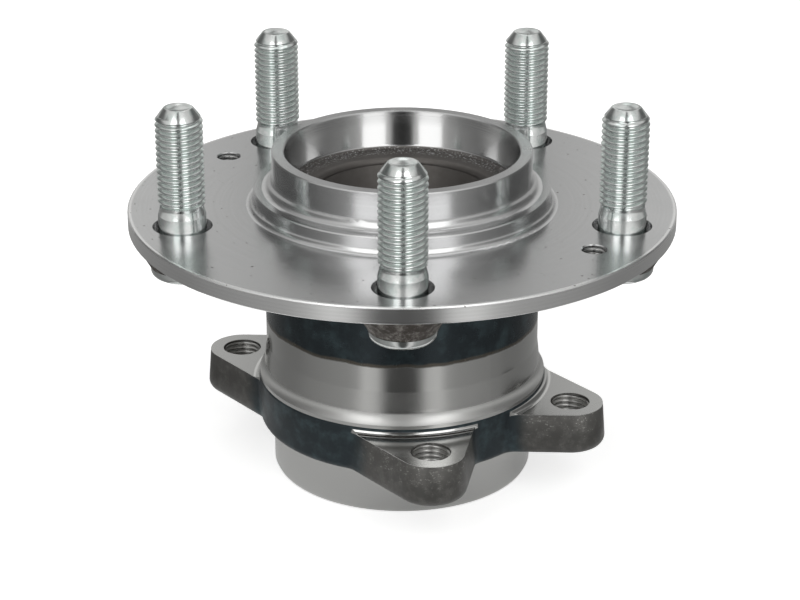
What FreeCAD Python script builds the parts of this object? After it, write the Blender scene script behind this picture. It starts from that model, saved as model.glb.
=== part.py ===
import FreeCAD
import Part
import Sketcher
import math
import os

# Driven wheel hub bearing with two rows of balls, a forged outer ring with four bolt lugs
# and a turning hub that carries the wheel studs.
# All lengths are millimetres and all angles degrees.
# The origin lies on the bearing axis in the end face of the spigot, and +Z points to the wheel.
# +X runs along the long side of the rectangle of knuckle bolt holes.

SIZES = [
    # Hub flange, measured from its wheel face
    ("flange_height", 71.5, "wheel face above the end of the spigot"),
    ("rim_reach", 12.35, "flange rim beyond the bolt circle"),
    ("flange_thickness", 4.2, "thickness of the flange rim"),
    ("flange_edge", 0.3, "chamfer of the flange rim"),
    ("hub_back_depth", 10.5, "wheel face to the back of the thick centre"),
    ("hub_back_reach", 42.0, "radius of the thick centre at its back"),
    ("hub_back_slope", 3.6, "run of the forged slope behind the flange"),
    ("wheel_pilot_diameter", 66.0, "wheel centring ring"),
    ("wheel_pilot_height", 14.0, "top of the wheel centring ring"),
    ("wheel_pilot_foot", 2.6, "fillet at the foot of the wheel centring ring"),
    ("disc_pilot_step", 4.75, "brake disc centring ring beyond the wheel centring ring"),
    ("disc_pilot_height", 4.45, "top of the brake disc centring ring"),
    ("disc_pilot_foot", 1.9, "fillet at the foot of the brake disc centring ring"),
    ("pilot_edge", 0.3, "turned edge break of both centring rings"),
    ("pilot_wall", 3.9, "wall of the wheel centring ring"),
    ("pilot_mouth", 1.0, "chamfer inside the mouth of the pilot"),
    ("pilot_floor_height", 3.8, "forged ledge inside the pilot"),
    ("pilot_floor_corner", 1.2, "corner radius above the forged ledge"),
    ("pilot_floor_drop", 0.5, "fall of the forged ledge towards the axis"),
    ("ledge_width", 4.9, "width of the forged ledge"),
    ("ledge_rounding", 1.6, "rounding from the ledge into the nut recess"),
    ("nut_seat_depth", 7.0, "wheel face down to the axle nut seat"),
    ("nut_seat_width", 6.6, "width of the ring that carries the axle nut"),
    ("nut_seat_corner", 1.0, "corner radius of the nut recess"),
    # Wheel studs
    ("stud_circle", 114.3, "bolt circle of the wheel"),
    ("stud_count", 5, "number of wheel studs"),
    ("stud_angle", 33.5, "first stud from the long side of the bolt rectangle"),
    ("stud_length", 30.8, "stud tip above the wheel face"),
    ("stud_thread_diameter", 11.8, "outside of the stud thread"),
    ("stud_thread_foot", 5.8, "lower end of the thread above the wheel face"),
    ("stud_band_length", 2.5, "tapered band between thread and plain shank"),
    ("stud_band_cut", 0.45, "radius lost on the tapered band"),
    ("stud_shank_swell", 0.06, "plain shank beyond the thread radius"),
    ("stud_lead_length", 3.1, "length of the tapered lead"),
    ("stud_lead_cut", 2.35, "radius lost on the tapered lead"),
    ("stud_dish", 0.35, "depth of the dished tip"),
    ("stud_knurl_diameter", 12.5, "knurled press fit in the flange"),
    ("stud_knurl_start", 0.6, "knurl start below the floor of the relief"),
    ("stud_head_diameter", 16.5, "stud head"),
    ("stud_head_thickness", 3.1, "stud head"),
    ("stud_head_edge", 1.3, "height of the upright side of the stud head"),
    ("stud_head_crown", 2.6, "width of the rounded outer part of the stud head"),
    ("stud_head_round", 2.6, "radius of the rounded outer part of the stud head"),
    ("stud_relief_diameter", 14.9, "relief round each stud in the wheel face"),
    ("stud_relief_depth", 2.7, "relief round each stud in the wheel face"),
    ("boss_diameter", 23.6, "stud boss where it leaves the flange rim"),
    ("boss_depth", 10.2, "wheel face to the back of the stud bosses"),
    ("boss_draft", 30.0, "forging draft of the stud bosses"),
    ("boss_arm_width", 21.0, "arm from the boss to the thick centre, at its root"),
    ("screw_diameter", 6.0, "brake disc screw holes"),
    ("screw_chamfer", 0.25, "mouth of the brake disc screw holes"),
    # Outer ring
    ("spigot_diameter", 67.3, "spigot in the steering knuckle"),
    ("spigot_length", 12.0, "spigot end to the knuckle face"),
    ("spigot_chamfer", 0.8, "lead chamfer of the spigot"),
    ("spigot_relief", 0.4, "depth of the relief in the knuckle face beside the spigot"),
    ("spigot_relief_width", 1.0, "width of the relief in the knuckle face beside the spigot"),
    ("body_step", 1.55, "turned body beyond the spigot radius"),
    ("web_step", 2.0, "forged web beyond the turned body"),
    ("lug_thickness", 11.0, "bolt lugs"),
    ("lug_turning_radius", 1.8, "fillet that turns from the lug tops into the web"),
    ("turning_cut", 0.1, "depth that the turning tool takes off the forged web"),
    ("flare_foot", 0.9, "upright stretch of the web above the turned fillet"),
    ("flare_rise", 3.6, "height of the concave flare above the web"),
    ("flare_radius", 5.0, "radius of the concave flare"),
    ("flare_collar", 0.5, "low collar above the flare beyond the body radius"),
    ("collar_height", 4.8, "height of the low collar"),
    ("body_top_chamfer", 0.6, "chamfer at the flange end of the outer ring"),
    ("ring_gap", 1.5, "hub back to the end of the outer ring"),
    ("lug_margin_long", 12.7, "knuckle bolt holes along X, beyond the spigot diameter"),
    ("lug_margin_short", 21.3, "knuckle bolt holes along Y, within the spigot diameter"),
    ("lug_hole_diameter", 10.0, "outside of the knuckle bolt thread"),
    ("lug_wall", 3.4, "lug wall round its hole at the top"),
    ("lug_draft", 4.5, "forging draft of the lug sides"),
    ("long_flank", 63.1, "place on the web where the flanks of the long side start"),
    ("short_flank", 6.75, "place on the web where the flanks of the short side start"),
    ("lug_root_radius", 4.0, "fillet between lug flanks and web"),
    ("lug_foot_radius", 2.2, "rounding of the lower lug edges"),
    # Rolling elements and raceways
    ("ball_count", 12, "balls in each row"),
    ("ball_gap", 1.5616, "space between two balls of a row"),
    ("race_clearance", 0.05, "gap between ball and raceway"),
    ("race_wall", 3.56, "outer ring wall under the inboard raceway"),
    ("outer_land_rise", 2.8, "central land above the outer raceways"),
    ("shoulder_rise", 3.2, "shoulders above the inner raceways"),
    ("inboard_row_height", 13.5, "ball centres of the inboard row above the spigot end"),
    ("outboard_row_depth", 14.5, "ball centres of the outboard row below the ring end"),
    ("journal_fillet", 3.2, "fillet from the seal journal to the hub back"),
    # Inner ring, spindle and splines
    ("ring_end_height", 3.0, "end face of the inner ring above the spigot end"),
    ("inner_ring_wall", 3.4, "inner ring wall under its raceway"),
    ("inner_ring_top", 14.0, "inner ring above its ball centres"),
    ("inner_ring_edge", 0.5, "edge break of the inner ring"),
    ("collar_width", 4.5, "rolled collar beyond the spindle"),
    ("collar_thickness", 2.5, "rolled collar of the spindle end"),
    ("collar_rounding", 1.4, "outer rounding of the rolled collar"),
    ("spindle_wall", 2.6, "spindle wall outside the splines"),
    ("spline_depth", 0.9, "height of the axle splines"),
    ("spline_count", 26, "number of axle spline teeth"),
    ("spline_flank", 30.0, "pressure angle of the axle splines"),
    ("spline_mouth", 0.7, "chamfer at both ends of the splined bore"),
    # Cages
    ("cage_outside", 2.3, "cage outer wall beyond the ball centres"),
    ("cage_inside", 2.9, "cage inner wall inside the ball centres"),
    ("cage_back", 7.6, "solid side of the cage from the ball centres"),
    ("cage_mouth", 2.0, "open side of the cage from the ball centres"),
    ("pocket_clearance", 0.14, "gap between ball and pocket"),
    # Seals
    ("seal_step", 0.5, "seal seats beyond the outer raceways"),
    ("seal_depth", 6.6, "depth of both seal seats"),
    ("seal_mouth", 0.5, "chamfer at the mouth of both seal seats"),
    ("seal_sheet", 0.7, "sheet thickness of the seal cases and the slinger"),
    ("seal_case_margin", 3.312, "seal case flanges clear of the seal journal"),
    ("lip_clearance", 0.05, "running gap of the seal lips"),
    ("lip_thickness", 0.9, "rubber of the seal lips"),
    ("seal_recess", 0.8, "seal cases below the ends of the outer ring"),
    ("slinger_gap", 0.4, "gap between slinger rim and seal case"),
    ("slinger_sleeve", 4.4, "sleeve of the slinger on the inner ring"),
    ("axial_lip_tip", 1.0, "axial lip of the outboard seal below the ring end"),
    ("encoder_thickness", 0.9, "magnetic encoder ring"),
    ("encoder_margin", 0.8, "slinger rim left bare beside the encoder ring"),
]

# Radii and heights that follow from the driving sizes, each for several pieces at once.
DERIVED = [
    ("stud_radius", "Sizes.stud_circle / 2"),
    ("flange_radius", "Sizes.stud_circle / 2 + Sizes.rim_reach"),
    ("pilot_radius", "Sizes.wheel_pilot_diameter / 2"),
    ("disc_radius", "Sizes.wheel_pilot_diameter / 2 + Sizes.disc_pilot_step"),
    ("pilot_bore", "Sizes.wheel_pilot_diameter / 2 - Sizes.pilot_wall"),
    ("spigot_radius", "Sizes.spigot_diameter / 2"),
    ("body_radius", "Sizes.spigot_diameter / 2 + Sizes.body_step"),
    ("web_radius", "Sizes.spigot_diameter / 2 + Sizes.body_step + Sizes.web_step"),
    ("lug_top", "Sizes.spigot_length + Sizes.lug_thickness"),
    ("lug_spacing_long", "Sizes.spigot_diameter + Sizes.lug_margin_long"),
    ("lug_spacing_short", "Sizes.spigot_diameter - Sizes.lug_margin_short"),
    ("lug_foot_width", "Sizes.lug_wall + Sizes.lug_thickness * tan(Sizes.lug_draft)"),
    ("lug_tip", "Sizes.lug_hole_diameter / 2 + Derived.lug_foot_width"),
    ("body_top", "Sizes.flange_height - Sizes.hub_back_depth - Sizes.ring_gap"),
    ("outer_race", "Sizes.spigot_diameter / 2 - Sizes.race_wall"),
    ("ball_share", "sin(180 / Sizes.ball_count)"),
    ("ball_row_reach", "2 * (Derived.outer_race - Sizes.race_clearance) * Derived.ball_share"),
    ("ball_diameter", "(Derived.ball_row_reach - Sizes.ball_gap) / (1 + Derived.ball_share)"),
    ("groove_radius", "Derived.ball_diameter / 2 + Sizes.race_clearance"),
    ("pitch_radius", "Derived.outer_race - Derived.groove_radius"),
    ("inner_race", "Derived.pitch_radius - Derived.groove_radius"),
    ("land_radius", "Derived.outer_race - Sizes.outer_land_rise"),
    ("land_drop", "Derived.groove_radius - Sizes.outer_land_rise"),
    ("land_offset", "sqrt(Derived.groove_radius ^ 2 - Derived.land_drop ^ 2)"),
    ("journal_radius", "Derived.inner_race + Sizes.shoulder_rise"),
    ("shoulder_drop", "Derived.groove_radius - Sizes.shoulder_rise"),
    ("shoulder_offset", "sqrt(Derived.groove_radius ^ 2 - Derived.shoulder_drop ^ 2)"),
    ("outboard_row", "Derived.body_top - Sizes.outboard_row_depth"),
    ("seal_seat", "Derived.outer_race + Sizes.seal_step"),
    ("spindle_radius", "Derived.inner_race - Sizes.inner_ring_wall"),
    ("spline_root", "Derived.spindle_radius - Sizes.spindle_wall"),
    ("spline_bore", "Derived.spline_root - Sizes.spline_depth"),
    ("slinger_outside", "Derived.seal_seat - Sizes.seal_sheet - Sizes.slinger_gap"),
    ("row_below_face", "Sizes.flange_height - Derived.outboard_row"),
    ("ring_end_below_face", "Sizes.flange_height - Sizes.ring_end_height"),
    ("row_in_ring", "Sizes.inboard_row_height - Sizes.ring_end_height"),
    ("ring_length", "Derived.row_in_ring + Sizes.inner_ring_top"),
]

doc = FreeCAD.newDocument("wheel_hub_bearing")


def fill_sheets():
    """Put the driving sizes and the sizes worked out from them into two sheets."""
    sizes = doc.addObject("Spreadsheet::Sheet", "Sizes")
    for row, (name, number, note) in enumerate(SIZES, start=1):
        sizes.set(f"A{row}", name)
        sizes.set(f"B{row}", str(number))
        sizes.set(f"C{row}", note)
        sizes.setAlias(f"B{row}", name)
    doc.recompute()
    derived = doc.addObject("Spreadsheet::Sheet", "Derived")
    for row, (name, formula) in enumerate(DERIVED, start=1):
        derived.set(f"A{row}", name)
        derived.setAlias(f"B{row}", name)
        derived.set(f"B{row}", "=" + formula)
    doc.recompute()
    return sizes, derived


sizes, derived = fill_sheets()


def value(expression):
    """Return the present number of an expression on the sheets."""
    return float(sizes.evalExpression(expression))


def new_body(name):
    """Start one rigid piece, which takes its file and node name from its label."""
    body = doc.addObject("PartDesign::Body", name)
    body.Label = name
    return body


def origin_feature(body, role):
    """Find a plane or an axis of the body's own origin."""
    return next(item for item in body.Origin.OriginFeatures if item.Role == role)


def new_sketch(body, name, plane, height=None):
    """Lay an empty sketch on a plane of the body's origin, or on a level above it."""
    sketch = body.newObject("Sketcher::SketchObject", name)
    sketch.AttachmentSupport = [(origin_feature(body, plane), "")]
    sketch.MapMode = "FlatFace"
    if height:
        sketch.setExpression("AttachmentOffset.Base.z", height)
    return sketch


def bind(sketch, kind, places, name, expression):
    """Add one dimension to a sketch and tie it to an expression."""
    index = sketch.addConstraint(Sketcher.Constraint(kind, *places, value(expression)))
    sketch.renameConstraint(index, name)
    sketch.setExpression(f"Constraints.{name}", expression)


def arc_between(start, end, radius, bulge):
    """Return a counter-clockwise arc and whether it runs from start to end.

    A bulge of 1 puts the centre on the left of the way from start to end, -1 on the right.
    """
    chord = end - start
    left = FreeCAD.Vector(-chord.y, chord.x, 0).normalize()
    height = math.sqrt(max(radius ** 2 - (chord.Length / 2) ** 2, 0.0))
    centre = (start + end) / 2 + left * height * bulge
    circle = Part.Circle(centre, FreeCAD.Vector(0, 0, 1), radius)
    first, last = (start, end) if bulge > 0 else (end, start)
    angles = [math.atan2(point.y - centre.y, point.x - centre.x) for point in (first, last)]
    return Part.ArcOfCircle(circle, angles[0], angles[1]), bulge > 0


def outline(sketch, corners):
    """Draw a closed outline whose corners are tied to expressions.

    Each corner is (x, y), or (x, y, radius, bulge) where an arc leads on to the next corner.
    """
    points = [FreeCAD.Vector(value(corner[0]), value(corner[1]), 0) for corner in corners]
    ends = []
    for index, corner in enumerate(corners):
        start = points[index]
        end = points[(index + 1) % len(points)]
        if len(corner) == 2:
            sketch.addGeometry(Part.LineSegment(start, end), False)
            ends.append((1, 2))
            continue
        arc, forward = arc_between(start, end, value(corner[2]), corner[3])
        sketch.addGeometry(arc, False)
        ends.append((1, 2) if forward else (2, 1))
    for index in range(len(corners)):
        following = (index + 1) % len(corners)
        sketch.addConstraint(
            Sketcher.Constraint("Coincident", index, ends[index][1], following, ends[following][0])
        )
    for index, corner in enumerate(corners):
        place = (-1, 1, index, ends[index][0])
        bind(sketch, "DistanceX", place, f"x{index}", corner[0])
        bind(sketch, "DistanceY", place, f"y{index}", corner[1])
        if len(corner) == 4:
            bind(sketch, "Radius", (index,), f"arc{index}", corner[2])


def round_outline(sketch, circles):
    """Draw circles, each given as (x, y, radius) expressions."""
    for index, (x, y, radius) in enumerate(circles):
        centre = FreeCAD.Vector(value(x), value(y), 0)
        circle = Part.Circle(centre, FreeCAD.Vector(0, 0, 1), value(radius))
        sketch.addGeometry(circle, False)
        bind(sketch, "DistanceX", (-1, 1, index, 3), f"x{index}", x)
        bind(sketch, "DistanceY", (-1, 1, index, 3), f"y{index}", y)
        bind(sketch, "Radius", (index,), f"size{index}", radius)


def turned(body, name, corners, cut=False):
    """Turn a profile of (radius, height) corners about the body's Z axis."""
    sketch = new_sketch(body, name + "_profile", "XZ_Plane")
    outline(sketch, corners)
    feature = body.newObject("PartDesign::Groove" if cut else "PartDesign::Revolution", name)
    feature.Profile = sketch
    feature.ReferenceAxis = (sketch, ["V_Axis"])
    feature.Angle = 360
    finish(body, feature, cut)
    return feature


def finish(body, feature, cut):
    """Make a feature the body's tip, and stop if a cut removed nothing."""
    before = body.Shape.Volume if cut else None
    body.Tip = feature
    doc.recompute()
    if cut and not body.Shape.Volume < before:
        raise RuntimeError(f"{feature.Name} cut nothing from {body.Label}")


def drilled(body, name, circles, upward=False, depth=None):
    """Cut round holes from the XY plane, right through or to a depth."""
    sketch = new_sketch(body, name + "_circles", "XY_Plane")
    round_outline(sketch, circles)
    return pocketed(body, name, sketch, upward, depth)


def pocketed(body, name, sketch, upward=False, depth=None):
    """Cut a sketch away, down or up, right through or to a depth."""
    pocket = body.newObject("PartDesign::Pocket", name)
    pocket.Profile = sketch
    pocket.Reversed = upward
    pocket.Type = 1
    if depth:
        pocket.Type = 0
        pocket.setExpression("Length", depth)
    finish(body, pocket, True)
    return pocket


def around(body, name, features, count):
    """Repeat features evenly about the body's Z axis."""
    pattern = body.newObject("PartDesign::PolarPattern", name)
    pattern.Originals = features
    pattern.Axis = (origin_feature(body, "Z_Axis"), [""])
    pattern.Angle = 360
    pattern.setExpression("Occurrences", count)
    for feature in features:
        feature.Visibility = False
    body.Tip = pattern
    doc.recompute()
    return pattern


def rounded(body, name, is_wanted, radius):
    """Round every edge of the body that the test picks out."""
    base = body.Tip
    edges = enumerate(base.Shape.Edges, start=1)
    names = [f"Edge{index}" for index, edge in edges if is_wanted(edge)]
    fillet = body.newObject("PartDesign::Fillet", name)
    fillet.Base = (base, names)
    fillet.setExpression("Radius", radius)
    finish(body, fillet, False)


def placed(body, height=None, angle=None, flipped=False):
    """Put a finished body on the bearing axis at a height, turned or upside down."""
    if flipped:
        body.Placement.Rotation = FreeCAD.Rotation(FreeCAD.Vector(1, 0, 0), 180)
    if angle:
        body.Placement.Rotation = FreeCAD.Rotation(FreeCAD.Vector(0, 0, 1), value(angle))
        body.setExpression("Placement.Rotation.Angle", angle)
    if height:
        body.setExpression("Placement.Base.z", height)


def build_outer_ring():
    """Forge the blank with its lugs, then turn the web, the bore and the raceways."""
    body = new_body("outer_ring")
    relief = "Derived.spigot_radius + Sizes.spigot_relief_width"
    relief_floor = "Sizes.spigot_length + Sizes.spigot_relief"
    turn = "Derived.lug_top + Sizes.lug_turning_radius"
    flare_top = turn + " + Sizes.flare_foot + Sizes.flare_rise"
    collar_top = flare_top + " + Sizes.collar_height"
    turned(body, "blank", [
        ("0", "0"),
        ("Derived.spigot_radius - Sizes.spigot_chamfer / 2", "0"),
        ("Derived.spigot_radius", "Sizes.spigot_chamfer"),
        ("Derived.spigot_radius", relief_floor),
        (relief, relief_floor),
        (relief, "Sizes.spigot_length"),
        ("Derived.web_radius", "Sizes.spigot_length"),
        ("Derived.web_radius", collar_top),
        ("Derived.body_radius", collar_top),
        ("Derived.body_radius", "Derived.body_top - Sizes.body_top_chamfer"),
        ("Derived.body_radius - Sizes.body_top_chamfer", "Derived.body_top"),
        ("0", "Derived.body_top"),
    ])
    add_lugs(body, turn)
    round_lugs(body, turn)
    turn_web(body, turn, flare_top, collar_top)
    drilled(body, "bolt_holes", [
        (f"{side} * Derived.lug_spacing_long / 2", f"{end} * Derived.lug_spacing_short / 2",
         "Sizes.lug_hole_diameter / 2")
        for side in (-1, 1) for end in (-1, 1)
    ], upward=True)
    turn_bore(body)


def add_lugs(body, turn):
    """Pad one bolt lug, drafted inwards towards its top, and mirror it to all four.

    Its two flanks run from the web to the circle round the bolt hole and touch it there.
    """
    inside = "(Derived.web_radius - Sizes.web_step)"
    root = "(Derived.web_radius - Sizes.web_step / 2)"
    long_side = flank_end(f"{root} * cos(Sizes.long_flank)", f"{root} * sin(Sizes.long_flank)", -1)
    short_side = flank_end(f"{root} * cos(Sizes.short_flank)", f"{root} * sin(Sizes.short_flank)", 1)
    sketch = new_sketch(body, "lug_outline", "XY_Plane", "Sizes.spigot_length")
    outline(sketch, [
        (f"{inside} * cos(Sizes.long_flank)", f"{inside} * sin(Sizes.long_flank)", inside, -1),
        (f"{inside} * cos(Sizes.short_flank)", f"{inside} * sin(Sizes.short_flank)"),
        (f"{root} * cos(Sizes.short_flank)", f"{root} * sin(Sizes.short_flank)"),
        (*short_side, "Derived.lug_tip", 1),
        long_side,
        (f"{root} * cos(Sizes.long_flank)", f"{root} * sin(Sizes.long_flank)"),
    ])
    lug = body.newObject("PartDesign::Pad", "lug")
    lug.Profile = sketch
    lug.setExpression("Length", turn + " - Sizes.spigot_length")
    lug.setExpression("TaperAngle", "-Sizes.lug_draft")
    finish(body, lug, False)
    mirrors = []
    for name, plane in (("lugs_across", "YZ_Plane"), ("lugs_along", "XZ_Plane")):
        mirror = body.newObject("PartDesign::Mirrored", name)
        mirror.MirrorPlane = (origin_feature(body, plane), [""])
        mirrors.append(mirror)
    lug_set = body.newObject("PartDesign::MultiTransform", "lug_set")
    lug_set.Originals = [lug]
    lug_set.Transformations = mirrors
    finish(body, lug_set, False)


def flank_end(start_x, start_y, side):
    """Return where a flank from a point on the web touches the circle round the bolt hole.

    A side of 1 takes the touching point on the left of the way to the web, -1 on the right.
    """
    away_x = f"({start_x} - Derived.lug_spacing_long / 2)"
    away_y = f"({start_y} - Derived.lug_spacing_short / 2)"
    square = f"({away_x} ^ 2 + {away_y} ^ 2)"
    along = f"Derived.lug_tip ^ 2 / {square}"
    across = f"{side} * Derived.lug_tip * sqrt({square} - Derived.lug_tip ^ 2) / {square}"
    return (
        f"Derived.lug_spacing_long / 2 + {along} * {away_x} - {across} * {away_y}",
        f"Derived.lug_spacing_short / 2 + {along} * {away_y} + {across} * {away_x}",
    )


def round_lugs(body, turn):
    """Fillet the lug roots, then round the lower edge all round the lugs."""
    web = value("Derived.web_radius")
    foot = value("Sizes.spigot_length")
    top = value(turn)

    def is_root(edge):
        ends = [vertex.Point for vertex in edge.Vertexes]
        box = edge.BoundBox
        upright = abs(box.ZMin - foot) < 1e-3 and abs(box.ZMax - top) < 1e-3
        return upright and all(abs(math.hypot(end.x, end.y) - web) < 1e-3 for end in ends)

    def is_foot(edge):
        middle = edge.valueAt((edge.FirstParameter + edge.LastParameter) / 2)
        level = edge.BoundBox.ZLength < 1e-6 and abs(middle.z - foot) < 1e-6
        return level and math.hypot(middle.x, middle.y) > web - value("Sizes.web_step") / 2

    rounded(body, "lug_roots", is_root, "Sizes.lug_root_radius")
    rounded(body, "lug_feet", is_foot, "Sizes.lug_foot_radius")


def turn_web(body, turn, flare_top, collar_top):
    """Turn the lug tops, their fillet, the flare and the low collar in one cut."""
    clear = "Derived.web_radius + Derived.lug_spacing_long"
    web = "(Derived.web_radius - Sizes.turning_cut)"
    turned(body, "web_turning", [
        (web + " + Sizes.lug_turning_radius", "Derived.lug_top", "Sizes.lug_turning_radius", -1),
        (web, turn),
        (web, turn + " + Sizes.flare_foot", "Sizes.flare_radius", -1),
        ("Derived.body_radius + Sizes.flare_collar", flare_top),
        ("Derived.body_radius", collar_top),
        (clear, collar_top),
        (clear, "Derived.lug_top"),
    ], cut=True)


def turn_bore(body):
    """Turn the seal seats, both raceways and the land between them."""
    far_seat = "Derived.body_top - Sizes.seal_depth"
    mouth = "Derived.seal_seat + 2 * Sizes.seal_mouth"
    turned(body, "bore", [
        ("0", "-Sizes.seal_mouth"),
        (mouth, "-Sizes.seal_mouth"),
        ("Derived.seal_seat", "Sizes.seal_mouth"),
        ("Derived.seal_seat", "Sizes.seal_depth"),
        ("Derived.outer_race", "Sizes.seal_depth"),
        ("Derived.outer_race", "Sizes.inboard_row_height", "Derived.groove_radius", 1),
        ("Derived.land_radius", "Sizes.inboard_row_height + Derived.land_offset"),
        ("Derived.land_radius", "Derived.outboard_row - Derived.land_offset",
         "Derived.groove_radius", 1),
        ("Derived.outer_race", "Derived.outboard_row"),
        ("Derived.outer_race", far_seat),
        ("Derived.seal_seat", far_seat),
        ("Derived.seal_seat", "Derived.body_top - Sizes.seal_mouth"),
        (mouth, "Derived.body_top + Sizes.seal_mouth"),
        ("0", "Derived.body_top + Sizes.seal_mouth"),
    ], cut=True)


def build_hub_flange():
    """Turn the hub, forge the stud bosses behind the flange, then bore and spline it.

    The hub's own origin lies in the wheel face of the flange.
    """
    body = new_body("hub_flange")
    turned(body, "forging", nut_recess() + pilots() + flange_rim() + barrel_and_spindle())
    add_bosses(body)
    drill_flange(body)
    cut_splines(body)
    placed(body, "Sizes.flange_height", "Sizes.stud_angle")


def nut_recess():
    """Return the corners from the splined bore up to the mouth of the pilot."""
    seat = "Derived.spline_root + Sizes.nut_seat_width"
    ledge = "Derived.pilot_bore - Sizes.ledge_width"
    ledge_height = "Sizes.pilot_floor_height - Sizes.pilot_floor_drop"
    return [
        ("Derived.spline_bore", "-Sizes.nut_seat_depth - Sizes.spline_depth - Sizes.spline_mouth"),
        ("Derived.spline_root + Sizes.spline_mouth", "-Sizes.nut_seat_depth"),
        (seat + " - Sizes.nut_seat_corner", "-Sizes.nut_seat_depth", "Sizes.nut_seat_corner", 1),
        (seat, "Sizes.nut_seat_corner - Sizes.nut_seat_depth"),
        (ledge + " - Sizes.ledge_rounding", ledge_height + " - Sizes.ledge_rounding",
         "Sizes.ledge_rounding", -1),
        (ledge, ledge_height),
        ("Derived.pilot_bore - Sizes.pilot_floor_corner", "Sizes.pilot_floor_height",
         "Sizes.pilot_floor_corner", 1),
        ("Derived.pilot_bore", "Sizes.pilot_floor_height + Sizes.pilot_floor_corner"),
    ]


def pilots():
    """Return the corners over the wheel and brake disc centring rings."""
    return [
        ("Derived.pilot_bore", "Sizes.wheel_pilot_height - Sizes.pilot_mouth"),
        ("Derived.pilot_bore + Sizes.pilot_mouth", "Sizes.wheel_pilot_height"),
        ("Derived.pilot_radius - Sizes.pilot_edge", "Sizes.wheel_pilot_height"),
        ("Derived.pilot_radius", "Sizes.wheel_pilot_height - Sizes.pilot_edge"),
        ("Derived.pilot_radius", "Sizes.disc_pilot_height + Sizes.wheel_pilot_foot",
         "Sizes.wheel_pilot_foot", 1),
        ("Derived.pilot_radius + Sizes.wheel_pilot_foot", "Sizes.disc_pilot_height"),
        ("Derived.disc_radius - Sizes.pilot_edge", "Sizes.disc_pilot_height"),
        ("Derived.disc_radius", "Sizes.disc_pilot_height - Sizes.pilot_edge"),
        ("Derived.disc_radius", "Sizes.disc_pilot_foot", "Sizes.disc_pilot_foot", 1),
        ("Derived.disc_radius + Sizes.disc_pilot_foot", "0"),
    ]


def flange_rim():
    """Return the corners round the flange rim and over the thick centre behind it."""
    return [
        ("Derived.flange_radius - Sizes.flange_edge", "0"),
        ("Derived.flange_radius", "-Sizes.flange_edge"),
        ("Derived.flange_radius", "Sizes.flange_edge - Sizes.flange_thickness"),
        ("Derived.flange_radius - Sizes.flange_edge", "-Sizes.flange_thickness"),
        ("Sizes.hub_back_reach + Sizes.hub_back_slope", "-Sizes.flange_thickness"),
        ("Sizes.hub_back_reach", "-Sizes.hub_back_depth"),
    ]


def barrel_and_spindle():
    """Return the corners of the seal journal, raceway, barrel, spindle and rolled collar."""
    collar = "Derived.spindle_radius + Sizes.collar_width"
    end = "-Derived.ring_end_below_face - Sizes.collar_thickness"
    step = "Derived.ring_length - Derived.ring_end_below_face"
    return [
        ("Derived.journal_radius + Sizes.journal_fillet", "-Sizes.hub_back_depth",
         "Sizes.journal_fillet", 1),
        ("Derived.journal_radius", "-Sizes.hub_back_depth - Sizes.journal_fillet"),
        ("Derived.journal_radius", "Derived.shoulder_offset - Derived.row_below_face",
         "Derived.groove_radius", 1),
        ("Derived.inner_race", "-Derived.row_below_face"),
        ("Derived.inner_race", step),
        ("Derived.spindle_radius", step),
        ("Derived.spindle_radius", "-Derived.ring_end_below_face"),
        (collar, "-Derived.ring_end_below_face"),
        (collar, end + " + Sizes.collar_rounding", "Sizes.collar_rounding", -1),
        (collar + " - Sizes.collar_rounding", end),
        ("Derived.spline_root + Sizes.spline_mouth", end),
        ("Derived.spline_bore", end + " + Sizes.spline_depth + Sizes.spline_mouth"),
    ]


def add_bosses(body):
    """Pad one drafted stud boss with its arm behind the rim, and repeat it for each stud."""
    boss = "Sizes.boss_diameter / 2"
    arm = "Sizes.boss_arm_width / 2"
    neck = f"Derived.stud_radius - sqrt(({boss}) ^ 2 - ({arm}) ^ 2)"
    root = "Sizes.hub_back_reach - Sizes.boss_depth"
    sketch = new_sketch(body, "boss_outline", "XY_Plane", "-Sizes.flange_thickness")
    outline(sketch, [
        (root, f"-{arm}"),
        (neck, f"-{arm}", boss, 1),
        (f"Derived.stud_radius + {boss}", "0", boss, 1),
        (neck, arm),
        (root, arm),
    ])
    pad = body.newObject("PartDesign::Pad", "boss")
    pad.Profile = sketch
    pad.Reversed = True
    pad.setExpression("Length", "Sizes.boss_depth - Sizes.flange_thickness")
    pad.setExpression("TaperAngle", "-Sizes.boss_draft")
    finish(body, pad, False)
    around(body, "bosses", [pad], "Sizes.stud_count")


def drill_flange(body):
    """Drill the relieved stud holes and the two brake disc screw holes."""
    hole = drilled(body, "stud_hole", [
        ("Derived.stud_radius", "0", "Sizes.stud_knurl_diameter / 2"),
    ])
    relief = drilled(body, "stud_relief", [
        ("Derived.stud_radius", "0", "Sizes.stud_relief_diameter / 2"),
    ], depth="Sizes.stud_relief_depth")
    around(body, "stud_holes", [hole, relief], "Sizes.stud_count")
    turn = "90 / Sizes.stud_count"
    drilled(body, "screw_holes", [
        (f"{side} * Derived.stud_radius * cos({turn})",
         f"-{side} * Derived.stud_radius * sin({turn})", "Sizes.screw_diameter / 2")
        for side in (1, -1)
    ])
    base = body.Tip
    mouths = [
        f"Edge{index}" for index, edge in enumerate(base.Shape.Edges, start=1)
        if edge.Closed and abs(edge.BoundBox.ZMax) < 1e-6 and abs(edge.BoundBox.ZMin) < 1e-6
        and abs(edge.BoundBox.XLength - value("Sizes.screw_diameter")) < 1e-3
    ]
    chamfer = body.newObject("PartDesign::Chamfer", "screw_mouths")
    chamfer.Base = (base, mouths)
    chamfer.setExpression("Size", "Sizes.screw_chamfer")
    finish(body, chamfer, True)


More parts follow.
